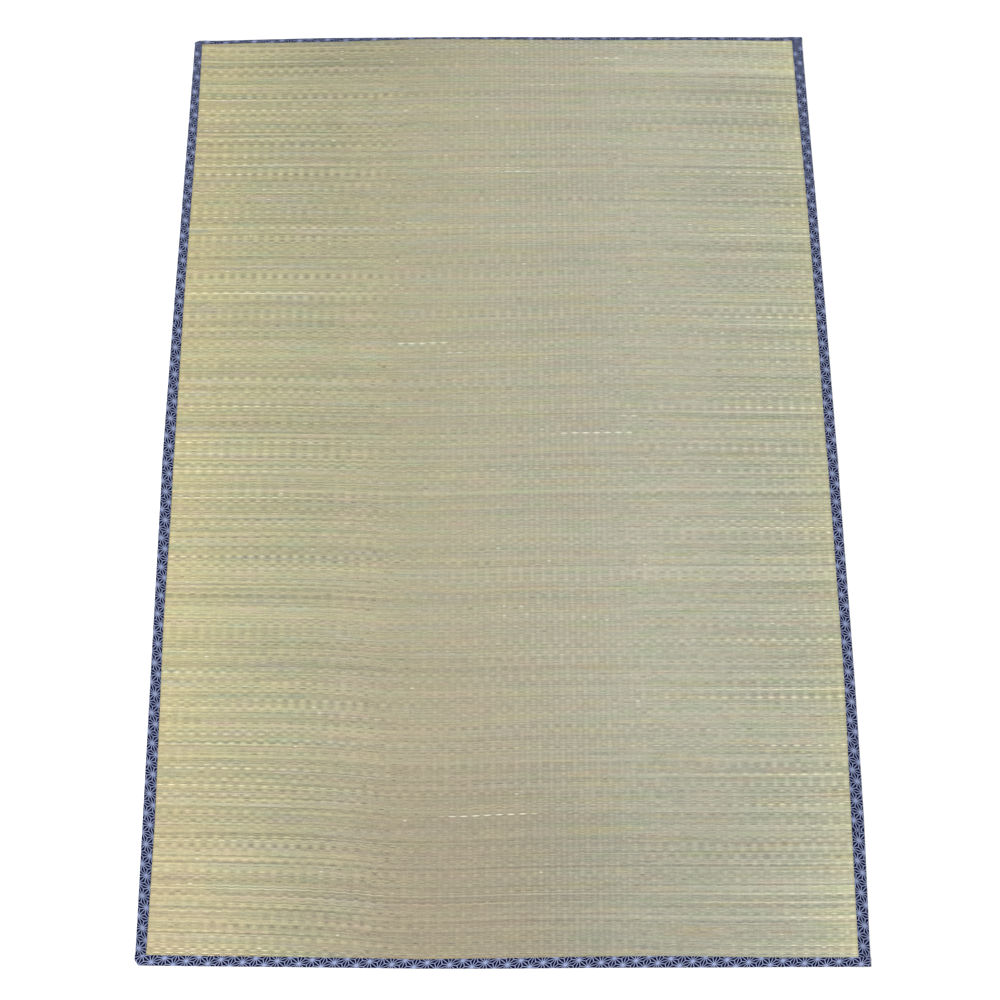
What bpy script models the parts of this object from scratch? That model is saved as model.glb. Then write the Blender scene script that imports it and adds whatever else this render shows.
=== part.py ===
"""Wide sleeping mat of woven soft rush, bound on all four edges with folded cloth tape.

The mat lies flat on the floor. The rush sheet is ribbed along its length, one rib for each
eye between two warps. Each tape is folded over the raw edge of the sheet, and the foot and
head tapes lap over the ends of the two side tapes. Metres, +Z up, +Y from foot to head.
"""

from collections import namedtuple

import bmesh
import bpy
from mathutils import Vector
import numpy as np

MM = 0.001

# Driving dimensions
MAT_WIDTH = 1.740
MAT_LENGTH = 2.610
EYES_ACROSS = 122
RUSH_CROWN = 2.6 * MM
RUSH_GROOVE = 2.0 * MM
TAPE_CLOTH = 1.0 * MM
TAPE_WIDTH = 60.0 * MM
TAPE_ROUND = 0.9 * MM
GAP = 0.3 * MM
END_OVERHANG = 0.4 * MM

# How the sheet settles from the tape below its edge down to the floor
SETTLE_RUN = 40.0 * MM
FLAP_MARGIN = 1.0 * MM

# How the end tapes climb over the side tapes
CLIMB_INSET = 31.0 * MM
CLIMB_RUN = 16.0 * MM

# The low ridge left at mid-length, where the mat was folded in half for storage
RIDGE_Y = -0.015
RIDGE_HALF = 0.085
RIDGE_HEIGHT = 2.5 * MM

# Along the mat, foot to head: y in metres, the rest in millimetres. A bow is how far the edge
# stands outside the straight line between its corners, and a flap is the tape's width on top.
SideRow = namedtuple("SideRow", "y left_bow right_bow left_flap right_flap")
SIDE_ROWS = (
    SideRow(-1.305, 0.1, -0.8, 25.6, 27.6),
    SideRow(-0.950, 4.3, 9.0, 29.6, 30.4),
    SideRow(-0.620, 8.3, 11.4, 26.8, 26.0),
    SideRow(-0.450, 10.1, 11.2, 25.0, 26.0),
    SideRow(-0.200, 13.0, 10.0, 28.6, 25.8),
    SideRow(-0.015, 15.0, 9.4, 28.9, 26.6),
    SideRow(0.070, 15.4, 9.0, 29.2, 27.3),
    SideRow(0.450, 12.4, 6.4, 25.8, 25.9),
    SideRow(0.750, 8.9, 2.9, 24.8, 25.4),
    SideRow(1.050, 5.5, -1.3, 25.2, 28.0),
    SideRow(1.305, 2.7, -4.6, 21.2, 29.2),
)

# Across the mat, left to right: eyes counted from the left edge, the rest in millimetres
EndRow = namedtuple("EndRow", "eyes foot_bow head_bow foot_flap head_flap")
END_ROWS = (
    EndRow(0, -5.0, -1.8, 24.6, 12.2),
    EndRow(12, -2.5, 3.2, 24.0, 12.4),
    EndRow(26, 0.1, 8.0, 23.4, 14.4),
    EndRow(40, 3.0, 8.8, 22.6, 9.4),
    EndRow(47, 4.6, 9.2, 21.4, 6.6),
    EndRow(61, 5.2, 9.2, 23.8, 9.6),
    EndRow(75, 4.1, 7.2, 25.8, 10.2),
    EndRow(89, 3.9, 6.9, 26.6, 11.6),
    EndRow(96, 4.1, 6.5, 25.2, 11.3),
    EndRow(107, 3.6, 5.4, 21.8, 11.2),
    EndRow(122, 3.7, 2.8, 21.6, 13.4),
)

# The two left corners are trimmed slantwise: how much comes off each edge
CornerCut = namedtuple("CornerCut", "end across along")
CORNER_CUTS = (
    CornerCut("foot", 8.6 * MM, 11.5 * MM),
    CornerCut("head", 14.5 * MM, 6.8 * MM),
)

# Colours as linear red, green and blue
Finish = namedtuple("Finish", "colour roughness")
RUSH_FINISH = Finish((0.45, 0.43, 0.30), 0.62)
TAPE_FINISH = Finish((0.085, 0.092, 0.235), 0.80)

HALF_WIDTH = MAT_WIDTH / 2
HALF_LENGTH = MAT_LENGTH / 2
SHEET_HALF_WIDTH = HALF_WIDTH - TAPE_CLOTH - GAP
SHEET_HALF_LENGTH = HALF_LENGTH - TAPE_CLOTH - GAP
EYE_PITCH = 2 * SHEET_HALF_WIDTH / EYES_ACROSS
LAYER_STEP = TAPE_CLOTH + GAP
FOLD_INSIDE = RUSH_CROWN + 2 * GAP
FOLD_OUTSIDE = FOLD_INSIDE + 2 * TAPE_CLOTH


def column(rows, name, unit=MM):
    """One named column of a table, in metres."""
    return np.array([getattr(row, name) for row in rows]) * unit


ROW_Y = column(SIDE_ROWS, "y", unit=1.0)
ROW_X = -SHEET_HALF_WIDTH + column(END_ROWS, "eyes", unit=1.0) * EYE_PITCH
CENTRE_X = (column(SIDE_ROWS, "right_bow").max() - column(SIDE_ROWS, "left_bow").max()) / 2
CENTRE_Y = (column(END_ROWS, "head_bow").max() - column(END_ROWS, "foot_bow").max()) / 2


def lay_out(x, y, z):
    """Move a point of the straight mat to its place in the mat as it lies, edges bowed."""
    side = "left_bow" if x < 0 else "right_bow"
    end = "foot_bow" if y < 0 else "head_bow"
    bow_x = np.interp(y, ROW_Y, column(SIDE_ROWS, side))
    bow_y = np.interp(x, ROW_X, column(END_ROWS, end))
    out_x = x * (1 + bow_x / HALF_WIDTH) - CENTRE_X
    out_y = y * (1 + bow_y / HALF_LENGTH) - CENTRE_Y
    return Vector((out_x, out_y, z))


def under_flap(upper):
    """Width of the tape under the mat, from its width on top."""
    return TAPE_WIDTH - FOLD_OUTSIDE - upper


def settled(inset, level_to, run):
    """1 over the level part of a step, easing down to 0 across its run."""
    t = min(max((inset - level_to) / run, 0.0), 1.0)
    return 1.0 - t * t * (3.0 - 2.0 * t)


def widest_under(rows, name):
    """The farthest that one tape reaches under the mat."""
    return max(under_flap(width) for width in column(rows, name)) + FLAP_MARGIN


SIDE_LEVEL = max(widest_under(SIDE_ROWS, "left_flap"), widest_under(SIDE_ROWS, "right_flap"))
FOOT_LEVEL = widest_under(END_ROWS, "foot_flap")
HEAD_LEVEL = widest_under(END_ROWS, "head_flap")


def side_step(x):
    """Height that the side tape under the mat gives the sheet."""
    return LAYER_STEP * settled(HALF_WIDTH - abs(x), SIDE_LEVEL, SETTLE_RUN)


def end_step(y):
    """Height that the foot or head tape under the mat gives what lies on it."""
    level_to = FOOT_LEVEL if y < 0 else HEAD_LEVEL
    return LAYER_STEP * settled(HALF_LENGTH - abs(y), level_to, SETTLE_RUN)


def ridge(y):
    """Height of the fold's ridge at mid-length."""
    return RIDGE_HEIGHT * max(0.0, 1.0 - abs(y - RIDGE_Y) / RIDGE_HALF)


def climb(x):
    """Height that the side tape on top of the mat gives the foot or head tape."""
    return LAYER_STEP * settled(HALF_WIDTH - abs(x), CLIMB_INSET, CLIMB_RUN)


def mesh_object(name, bm, finish):
    """Make a named object with its own material from a finished mesh."""
    bmesh.ops.recalc_face_normals(bm, faces=bm.faces)
    mesh = bpy.data.meshes.new(name)
    bm.to_mesh(mesh)
    bm.free()
    material = bpy.data.materials.new(name)
    material.use_nodes = True
    shader = material.node_tree.nodes["Principled BSDF"]
    shader.inputs["Base Color"].default_value = (*finish.colour, 1.0)
    shader.inputs["Roughness"].default_value = finish.roughness
    shader.inputs["Metallic"].default_value = 0.0
    mesh.materials.append(material)
    obj = bpy.data.objects.new(name, mesh)
    bpy.context.scene.collection.objects.link(obj)
    return obj


def trim_corners(bm, ends, inside):
    """Cut the slanting left corners off a closed mesh, a little inside the outermost cut."""
    for cut in CORNER_CUTS:
        if cut.end not in ends:
            continue
        sign = -1 if cut.end == "foot" else 1
        start = lay_out(-HALF_WIDTH, sign * (HALF_LENGTH - cut.along), 0.0)
        stop = lay_out(-HALF_WIDTH + cut.across, sign * HALF_LENGTH, 0.0)
        run = (stop - start).normalized()
        outward = Vector((-abs(run.y), sign * abs(run.x), 0.0))
        bmesh.ops.bisect_plane(
            bm,
            geom=bm.verts[:] + bm.edges[:] + bm.faces[:],
            dist=GAP / 100,
            plane_co=start - outward * inside,
            plane_no=outward,
            clear_outer=True,
        )
        rim = [edge for edge in bm.edges if edge.is_boundary]
        bmesh.ops.holes_fill(bm, edges=rim, sides=len(rim))


def grid_points(bm, columns, rows, height):
    """A grid of faces on given columns and rows; gives its vertices by column and row."""
    made = bmesh.ops.create_grid(
        bm,
        x_segments=len(columns) - 1,
        y_segments=len(rows) - 1,
        size=1.0,
    )["verts"]
    points = {}
    for vert in made:
        i = round((vert.co.x + 1) / 2 * (len(columns) - 1))
        j = round((vert.co.y + 1) / 2 * (len(rows) - 1))
        x = -SHEET_HALF_WIDTH + columns[i] * EYE_PITCH
        vert.co = lay_out(x, rows[j], height(columns[i], x, rows[j]))
        points[columns[i], j] = vert
    return points


def sheet_rows():
    """The stations along the sheet and the side tapes, from foot to head."""
    stops = list(ROW_Y[1:-1])
    for sign, level_to in ((-1, FOOT_LEVEL), (1, HEAD_LEVEL)):
        stops.append(sign * (HALF_LENGTH - level_to))
        stops.append(sign * (HALF_LENGTH - level_to - SETTLE_RUN))
    return sorted(stops + [-SHEET_HALF_LENGTH, SHEET_HALF_LENGTH])


def floor_columns():
    """The few columns of the plain underside, in eyes and half eyes from the left edge."""
    level = (SIDE_LEVEL + FLAP_MARGIN) / EYE_PITCH
    settled_by = (SIDE_LEVEL + SETTLE_RUN) / EYE_PITCH
    steps = [round(2 * stop) / 2 for stop in (level, (level + settled_by) / 2, settled_by)]
    stops = {float(row.eyes) for row in END_ROWS}
    stops.update(steps)
    stops.update(EYES_ACROSS - step for step in steps)
    return sorted(stops)


def rush_panel():
    """The woven sheet: a rib for each eye on top, a plain underside that rests on the floor."""

    def underside(eyes, x, y):
        return side_step(x) + end_step(y) + ridge(y)

    def ribbed(eyes, x, y):
        thickness = RUSH_GROOVE if eyes == int(eyes) else RUSH_CROWN
        return underside(eyes, x, y) + thickness

    rows = sheet_rows()
    rib_columns = [half / 2 for half in range(2 * EYES_ACROSS + 1)]
    plain_columns = floor_columns()
    bm = bmesh.new()
    top = grid_points(bm, rib_columns, rows, ribbed)
    below = grid_points(bm, plain_columns, rows, underside)
    last = len(rows) - 1
    for edge in (0.0, float(EYES_ACROSS)):
        for j in range(last):
            bm.faces.new((top[edge, j], top[edge, j + 1], below[edge, j + 1], below[edge, j]))
    for j in (0, last):
        for start, stop in zip(plain_columns, plain_columns[1:]):
            ribs = [top[eyes, j] for eyes in rib_columns if start <= eyes <= stop]
            bm.faces.new([below[start, j], *ribs, below[stop, j]])
    trim_corners(bm, ("foot", "head"), inside=2 * LAYER_STEP)
    return mesh_object("rush_panel", bm, RUSH_FINISH)


def tape_section(upper, lower, base, top):
    """The folded tape's outline as inset from the outer edge and height, round at the fold."""
    bend = TAPE_ROUND * (1 - 0.5 ** 0.5)
    return (
        (lower, base),
        (TAPE_ROUND, base),
        (bend, base + bend),
        (0.0, base + TAPE_ROUND),
        (0.0, top - TAPE_ROUND),
        (bend, top - bend),
        (TAPE_ROUND, top),
        (upper, top),
        (upper, top - TAPE_CLOTH),
        (TAPE_CLOTH, top - TAPE_CLOTH),
        (TAPE_CLOTH, base + TAPE_CLOTH),
        (lower, base + TAPE_CLOTH),
    )


def swept(sections):
    """A closed mesh through a list of sections, made by extruding the first from one to the next."""
    bm = bmesh.new()
    corner = bm.verts.layers.int.new("corner")
    ring = [bm.verts.new(point) for point in sections[0]]
    for number, vert in enumerate(ring):
        vert[corner] = number
    face = bm.faces.new(ring)
    for section in sections[1:]:
        end_cap = [face, *face.edges, *face.verts]
        made = bmesh.ops.extrude_face_region(bm, geom=end_cap)["geom"]
        face = next(item for item in made if isinstance(item, bmesh.types.BMFace))
        for vert in face.verts:
            vert.co = section[vert[corner]]
    return bm


def side_binding(side):
    """The tape folded over the left or right edge, from the foot tape to the head tape."""
    sign = -1 if side == "left" else 1
    flaps = column(SIDE_ROWS, f"{side}_flap")
    sections = []
    for y in sheet_rows():
        upper = np.interp(y, ROW_Y, flaps)
        base = end_step(y) + ridge(y)
        outline = tape_section(upper, under_flap(upper), base, base + FOLD_OUTSIDE)
        sections.append([lay_out(sign * (HALF_WIDTH - inset), y, z) for inset, z in outline])
    bm = swept(sections)
    if side == "left":
        trim_corners(bm, ("foot", "head"), inside=LAYER_STEP)
    return mesh_object(f"{side}_binding", bm, TAPE_FINISH)


def end_columns():
    """The stations along an end tape, from left to right, at the sheet's own columns."""
    near_sides = [half / 2 for half in range(int(2 * (SIDE_LEVEL + SETTLE_RUN) / EYE_PITCH) + 3)]
    eyes = {float(row.eyes) for row in END_ROWS[1:-1]}
    eyes.update(near_sides)
    eyes.update(EYES_ACROSS - step for step in near_sides)
    inner = [-SHEET_HALF_WIDTH + count * EYE_PITCH for count in sorted(eyes)]
    overhang = HALF_WIDTH + END_OVERHANG
    return [-overhang, *inner, overhang]


def end_binding(end):
    """The tape folded over the foot or head edge, lapping the side tapes at both corners."""
    sign = -1 if end == "foot" else 1
    flaps = column(END_ROWS, f"{end}_flap")
    sections = []
    for x in end_columns():
        upper = np.interp(x, ROW_X, flaps)
        top = LAYER_STEP + side_step(x) + RUSH_CROWN + GAP + climb(x) + TAPE_CLOTH
        outline = tape_section(upper, under_flap(upper), 0.0, top)
        sections.append([lay_out(x, sign * (HALF_LENGTH - inset), z) for inset, z in outline])
    bm = swept(sections)
    trim_corners(bm, (end,), inside=0.0)
    return mesh_object(f"{end}_binding", bm, TAPE_FINISH)


def main():
    """Clear the scene and build the mat."""
    for obj in list(bpy.data.objects):
        bpy.data.objects.remove(obj, do_unlink=True)
    rush_panel()
    for side in ("left", "right"):
        side_binding(side)
    for end in ("foot", "head"):
        end_binding(end)


main()
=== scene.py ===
"""A wide sleeping mat of woven soft rush, bound with folded star-printed cloth tape.

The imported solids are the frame. The rush sheet and the four folded tapes are modelled here as
finer pieces on the same layout, and lie on a plain pale floor. The weave, the print and the
stitches are worked out in their materials from each cloth's own map.
"""

from __future__ import annotations

import logging
import math
from dataclasses import dataclass
from enum import Enum, IntEnum
from typing import Callable, Sequence

import bmesh
import bpy
from mathutils import Matrix, Vector, noise


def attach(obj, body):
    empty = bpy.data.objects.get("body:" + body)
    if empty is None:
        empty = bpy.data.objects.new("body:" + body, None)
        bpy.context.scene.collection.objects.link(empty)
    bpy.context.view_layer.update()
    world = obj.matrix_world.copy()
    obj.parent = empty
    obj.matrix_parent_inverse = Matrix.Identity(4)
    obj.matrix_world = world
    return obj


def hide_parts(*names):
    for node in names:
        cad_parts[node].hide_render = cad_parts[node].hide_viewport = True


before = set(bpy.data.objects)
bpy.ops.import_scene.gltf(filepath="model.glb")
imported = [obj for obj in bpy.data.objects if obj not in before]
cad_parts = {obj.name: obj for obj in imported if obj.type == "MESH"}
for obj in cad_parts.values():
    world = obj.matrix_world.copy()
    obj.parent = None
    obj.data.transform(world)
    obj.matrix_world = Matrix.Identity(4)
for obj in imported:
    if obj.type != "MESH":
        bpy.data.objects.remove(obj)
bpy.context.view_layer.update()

MM = 0.001
LOG = logging.getLogger("rush_mat")
BODY = "root"
CLOTH_MAP = "cloth"
FLAT_LAYER = "flat"
SHARP_ANGLE = math.radians(55)
# Where stations fall: shares of a settle, of the ridge and of a flap, and angles of a fold.
SETTLE_SHARES = (0.0, 0.25, 0.5, 0.75, 1.0)
RIDGE_SHARES = (-1, -0.5, -0.25, 0.25, 0.5, 1)
FLAP_SHARES = (0.0, 0.14, 0.38, 0.62, 0.84, 0.94)
FOLD_ANGLES = (22.5, 45.0, 67.5, 90.0)

Colour = tuple[float, float, float]
Stops = tuple[tuple[float, float], ...]
LaidPoint = tuple[Vector, tuple[float, float, float]]


def linear(colour: Colour) -> tuple[float, float, float, float]:
    """Turn a screen colour into a linear one.

    Args:
        colour: Red, green and blue, from 0 to 255.

    Returns:
        Linear red, green and blue, and a full alpha.
    """

    def channel(value: float) -> float:
        """Turn one channel."""
        share = value / 255
        return share / 12.92 if share <= 0.04045 else ((share + 0.055) / 1.055) ** 2.4

    red, green, blue = colour
    return channel(red), channel(green), channel(blue), 1.0


def between(value: float, stops: Sequence[tuple[float, float]]) -> float:
    """Read a short table of (place, amount) pairs with straight lines between its rows.

    Args:
        value: The place to read at.
        stops: Pairs in rising order of place.

    Returns:
        The amount there, held level past either end.
    """
    if value <= stops[0][0]:
        return stops[0][1]
    for (low, start), (high, stop) in zip(stops, stops[1:]):
        if value <= high:
            return start + (stop - start) * (value - low) / (high - low)
    return stops[-1][1]


def eased(share: float) -> float:
    """Smooth a share from 0 to 1 so that it leaves and arrives level."""
    t = min(max(share, 0.0), 1.0)
    return t * t * (3.0 - 2.0 * t)


def waver(x: float, y: float, seed: float) -> float:
    """Even, repeatable unevenness between -1 and 1 at a point."""
    return noise.noise(Vector((x, y, seed)))


def add_object(name: str, data: bpy.types.ID) -> bpy.types.Object:
    """Make an object and link it to the scene.

    Args:
        name: The object's name.
        data: Its mesh, lamp or camera.

    Returns:
        The object.
    """
    obj = bpy.data.objects.new(name, data)
    bpy.context.scene.collection.objects.link(obj)
    return obj


def add_mesh(name: str, bm: bmesh.types.BMesh, material: bpy.types.Material) -> bpy.types.Object:
    """Make an object of a finished mesh, and link it to the scene.

    Args:
        name: The object's name.
        bm: The mesh, which is used up.
        material: Its finish.

    Returns:
        The object.
    """
    mesh = bpy.data.meshes.new(name)
    bm.to_mesh(mesh)
    bm.free()
    mesh.materials.append(material)
    return add_object(name, mesh)


class Edge(Enum):
    """The four bound edges of the mat."""

    LEFT = "left"
    RIGHT = "right"
    FOOT = "foot"
    HEAD = "head"

    @property
    def is_side(self) -> bool:
        """True for the two long edges."""
        return self in (Edge.LEFT, Edge.RIGHT)

    @property
    def sign(self) -> int:
        """Which way the edge lies along its axis."""
        return -1 if self in (Edge.LEFT, Edge.FOOT) else 1


@dataclass(frozen=True)
class SideRow:
    """One station along the mat: y in metres, bows and top flaps in millimetres."""

    y: float
    left_bow: float
    right_bow: float
    left_flap: float
    right_flap: float


@dataclass(frozen=True)
class EndRow:
    """One station across the mat: eyes from the left, bows and top flaps in millimetres."""

    eyes: float
    foot_bow: float
    head_bow: float
    foot_flap: float
    head_flap: float


@dataclass(frozen=True)
class CornerCut:
    """A slantwise trimmed left corner: how much comes off each edge, in metres."""

    end: Edge
    across: float
    along: float


SIDE_ROWS = (
    SideRow(-1.305, 0.1, -0.8, 25.6, 27.6),
    SideRow(-0.950, 4.3, 9.0, 29.6, 30.4),
    SideRow(-0.620, 8.3, 11.4, 26.8, 26.0),
    SideRow(-0.450, 10.1, 11.2, 25.0, 26.0),
    SideRow(-0.200, 13.0, 10.0, 28.6, 25.8),
    SideRow(-0.015, 15.0, 9.4, 28.9, 26.6),
    SideRow(0.070, 15.4, 9.0, 29.2, 27.3),
    SideRow(0.450, 12.4, 6.4, 25.8, 25.9),
    SideRow(0.750, 8.9, 2.9, 24.8, 25.4),
    SideRow(1.050, 5.5, -1.3, 25.2, 28.0),
    SideRow(1.305, 2.7, -4.6, 21.2, 29.2),
)

END_ROWS = (
    EndRow(0, -5.0, -1.8, 24.6, 12.2),
    EndRow(12, -2.5, 3.2, 24.0, 12.4),
    EndRow(26, 0.1, 8.0, 23.4, 14.4),
    EndRow(40, 3.0, 8.8, 22.6, 9.4),
    EndRow(47, 4.6, 9.2, 21.4, 6.6),
    EndRow(61, 5.2, 9.2, 23.8, 9.6),
    EndRow(75, 4.1, 7.2, 25.8, 10.2),
    EndRow(89, 3.9, 6.9, 26.6, 11.6),
    EndRow(96, 4.1, 6.5, 25.2, 11.3),
    EndRow(107, 3.6, 5.4, 21.8, 11.2),
    EndRow(122, 3.7, 2.8, 21.6, 13.4),
)


@dataclass(frozen=True)
class MatLayout:
    """Where everything in the mat lies: the straight mat and the bows that it lies in."""

    half_width: float = 0.870
    half_length: float = 1.305
    eyes_across: int = 122
    rush_crown: float = 2.6 * MM
    rush_groove: float = 2.0 * MM
    tape_cloth: float = 1.0 * MM
    tape_width: float = 60.0 * MM
    gap: float = 0.3 * MM
    end_overhang: float = 0.4 * MM
    settle_run: float = 40.0 * MM
    flap_margin: float = 1.0 * MM
    climb_inset: float = 31.0 * MM
    climb_run: float = 16.0 * MM
    ridge_y: float = -0.015
    ridge_half: float = 0.085
    ridge_height: float = 2.5 * MM
    corner_cuts: tuple[CornerCut, ...] = (
        CornerCut(Edge.FOOT, 8.6 * MM, 11.5 * MM),
        CornerCut(Edge.HEAD, 14.5 * MM, 6.8 * MM),
    )

    @property
    def layer_step(self) -> float:
        """Height of one layer of tape with its gap."""
        return self.tape_cloth + self.gap

    @property
    def touch(self) -> float:
        """How near two points lie when they count as one."""
        return self.gap / 100

    @property
    def sheet_half_width(self) -> float:
        """Half the width of the rush sheet inside the folded tapes."""
        return self.half_width - self.layer_step

    @property
    def sheet_half_length(self) -> float:
        """Half the length of the rush sheet inside the folded tapes."""
        return self.half_length - self.layer_step

    @property
    def eye_pitch(self) -> float:
        """Width of one eye, the space between two warps."""
        return 2 * self.sheet_half_width / self.eyes_across

    @property
    def fold_height(self) -> float:
        """Outer height of a tape folded over the rush."""
        return self.rush_crown + 2 * self.layer_step

    def eye_x(self, eyes: float) -> float:
        """Place across the straight mat of a number of eyes from the left."""
        return -self.sheet_half_width + eyes * self.eye_pitch

    def row_values(self, name: str) -> list[tuple[float, float]]:
        """Pair each station's place with one column of its table.

        Args:
            name: The column, such as left_bow.

        Returns:
            Pairs of place and amount, in metres.
        """
        if name.startswith(("left", "right")):
            return [(row.y, getattr(row, name) * MM) for row in SIDE_ROWS]
        return [(self.eye_x(row.eyes), getattr(row, name) * MM) for row in END_ROWS]

    def widest(self, name: str) -> float:
        """Largest value of one named column, in metres."""
        return max(amount for _, amount in self.row_values(name))

    def place(self, x: float, y: float, z: float) -> Vector:
        """Move a point of the straight mat to where it lies in the bowed mat.

        Args:
            x: Place across the straight mat.
            y: Place along the straight mat.
            z: Height above the floor.

        Returns:
            The point in the shared frame.
        """
        side = "left_bow" if x < 0 else "right_bow"
        end = "foot_bow" if y < 0 else "head_bow"
        bow_x = between(y, self.row_values(side))
        bow_y = between(x, self.row_values(end))
        centre_x = (self.widest("right_bow") - self.widest("left_bow")) / 2
        centre_y = (self.widest("head_bow") - self.widest("foot_bow")) / 2
        out_x = x * (1 + bow_x / self.half_width) - centre_x
        out_y = y * (1 + bow_y / self.half_length) - centre_y
        return Vector((out_x, out_y, z))

    def flap(self, edge: Edge, along: float) -> float:
        """Width of an edge's tape on top of the mat at a place along it."""
        return between(along, self.row_values(f"{edge.value}_flap"))

    def under_flap(self, upper: float) -> float:
        """Width of the tape under the mat, from its width on top."""
        return self.tape_width - self.fold_height - upper

    def level_under(self, edge: Edge) -> float:
        """How far in the tape under one edge keeps the sheet raised and level."""
        widths = [amount for _, amount in self.row_values(f"{edge.value}_flap")]
        return self.under_flap(min(widths)) + self.flap_margin

    def layer(self, inset: float, level: float, run: float) -> float:
        """Height that a layer of tape gives, level up to a distance in and gone past a run."""
        return self.layer_step * (1 - eased((inset - level) / run))

    def side_step(self, x: float) -> float:
        """Work out how high the side tape under the mat raises the sheet.

        Args:
            x: Place across the straight mat.

        Returns:
            The height above the floor.
        """
        level = max(self.level_under(Edge.LEFT), self.level_under(Edge.RIGHT))
        return self.layer(self.half_width - abs(x), level, self.settle_run)

    def end_step(self, y: float) -> float:
        """Work out how high the foot or head tape under the mat raises what lies on it.

        Args:
            y: Place along the straight mat.

        Returns:
            The height above the floor.
        """
        level = self.level_under(Edge.FOOT if y < 0 else Edge.HEAD)
        return self.layer(self.half_length - abs(y), level, self.settle_run)

    def ridge(self, y: float) -> float:
        """Height of the soft ridge at mid-length, left by folding in half."""
        return self.ridge_height * (1 - eased(abs(y - self.ridge_y) / self.ridge_half))

    def cut_line(self, cut: CornerCut) -> tuple[Vector, Vector, Vector]:
        """Find where a trimmed corner runs.

        Args:
            cut: The trimmed corner.

        Returns:
            Its start on the left edge, its stop on the foot or head edge, and the way it faces.
        """
        sign = cut.end.sign
        start = self.place(-self.half_width, sign * (self.half_length - cut.along), 0.0)
        stop = self.place(-self.half_width + cut.across, sign * self.half_length, 0.0)
        run = (stop - start).normalized()
        return start, stop, Vector((-abs(run.y), sign * abs(run.x), 0.0))

    def climb(self, x: float) -> float:
        """Height that a side tape on top of the mat gives a foot or head tape."""
        return self.layer(self.half_width - abs(x), self.climb_inset, self.climb_run)


class LaidCloth:
    """A mesh in the making that keeps each point's place on the flat cloth.

    The place is the distance along the cloth, across it, and past its seam line.
    """

    def __init__(self, layout: MatLayout) -> None:
        """Start an empty mesh.

        Args:
            layout: Where the mat's pieces lie.
        """
        self.layout = layout
        self.bm = bmesh.new()
        self.flat = self.bm.verts.layers.float_vector.new(FLAT_LAYER)

    def grid(
        self,
        columns: int,
        rows: int,
        point: Callable[[int, int], LaidPoint],
    ) -> dict[tuple[int, int], bmesh.types.BMVert]:
        """Add a grid of faces and move each of its points to its place.

        Args:
            columns: How many columns of points.
            rows: How many rows of points.
            point: Gives a point's place and its place on the flat cloth, by column and row.

        Returns:
            The points by column and row.
        """
        made = bmesh.ops.create_grid(
            self.bm,
            x_segments=columns - 1,
            y_segments=rows - 1,
            size=1.0,
        )["verts"]
        points = {}
        for vert in made:
            i = round((vert.co.x + 1) / 2 * (columns - 1))
            j = round((vert.co.y + 1) / 2 * (rows - 1))
            vert.co, vert[self.flat] = point(i, j)
            points[i, j] = vert
        return points

    def trim_corners(self, ends: Sequence[Edge], inside: float) -> None:
        """Cut the slanting left corners off, and close the cuts.

        Args:
            ends: The ends whose left corner is cut.
            inside: How far inside the outermost cut this piece is cut.
        """
        for cut in self.layout.corner_cuts:
            if cut.end not in ends:
                continue
            start, _, outward = self.layout.cut_line(cut)
            bmesh.ops.bisect_plane(
                self.bm,
                geom=self.bm.verts[:] + self.bm.edges[:] + self.bm.faces[:],
                dist=self.layout.touch,
                plane_co=start - outward * inside,
                plane_no=outward,
                clear_outer=True,
            )
            self.close_holes()

    def close_holes(self) -> None:
        """Fill every open rim with a face."""
        rim = [edge for edge in self.bm.edges if edge.is_boundary]
        bmesh.ops.holes_fill(self.bm, edges=rim, sides=len(rim))

    def finish(self, name: str, material: bpy.types.Material) -> bpy.types.Object:
        """Make the object, with the cloth's own map and smooth faces.

        Args:
            name: The piece's name.
            material: Its finish.

        Returns:
            The new object, linked to the scene.
        """
        bm = self.bm
        bmesh.ops.recalc_face_normals(bm, faces=bm.faces)
        layer = bm.loops.layers.uv.new(CLOTH_MAP)
        for face in bm.faces:
            face.smooth = True
            for loop in face.loops:
                loop[layer].uv = loop.vert[self.flat].xy
        obj = add_mesh(name, bm, material)
        obj.data.set_sharp_from_angle(angle=SHARP_ANGLE)
        return obj


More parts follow.
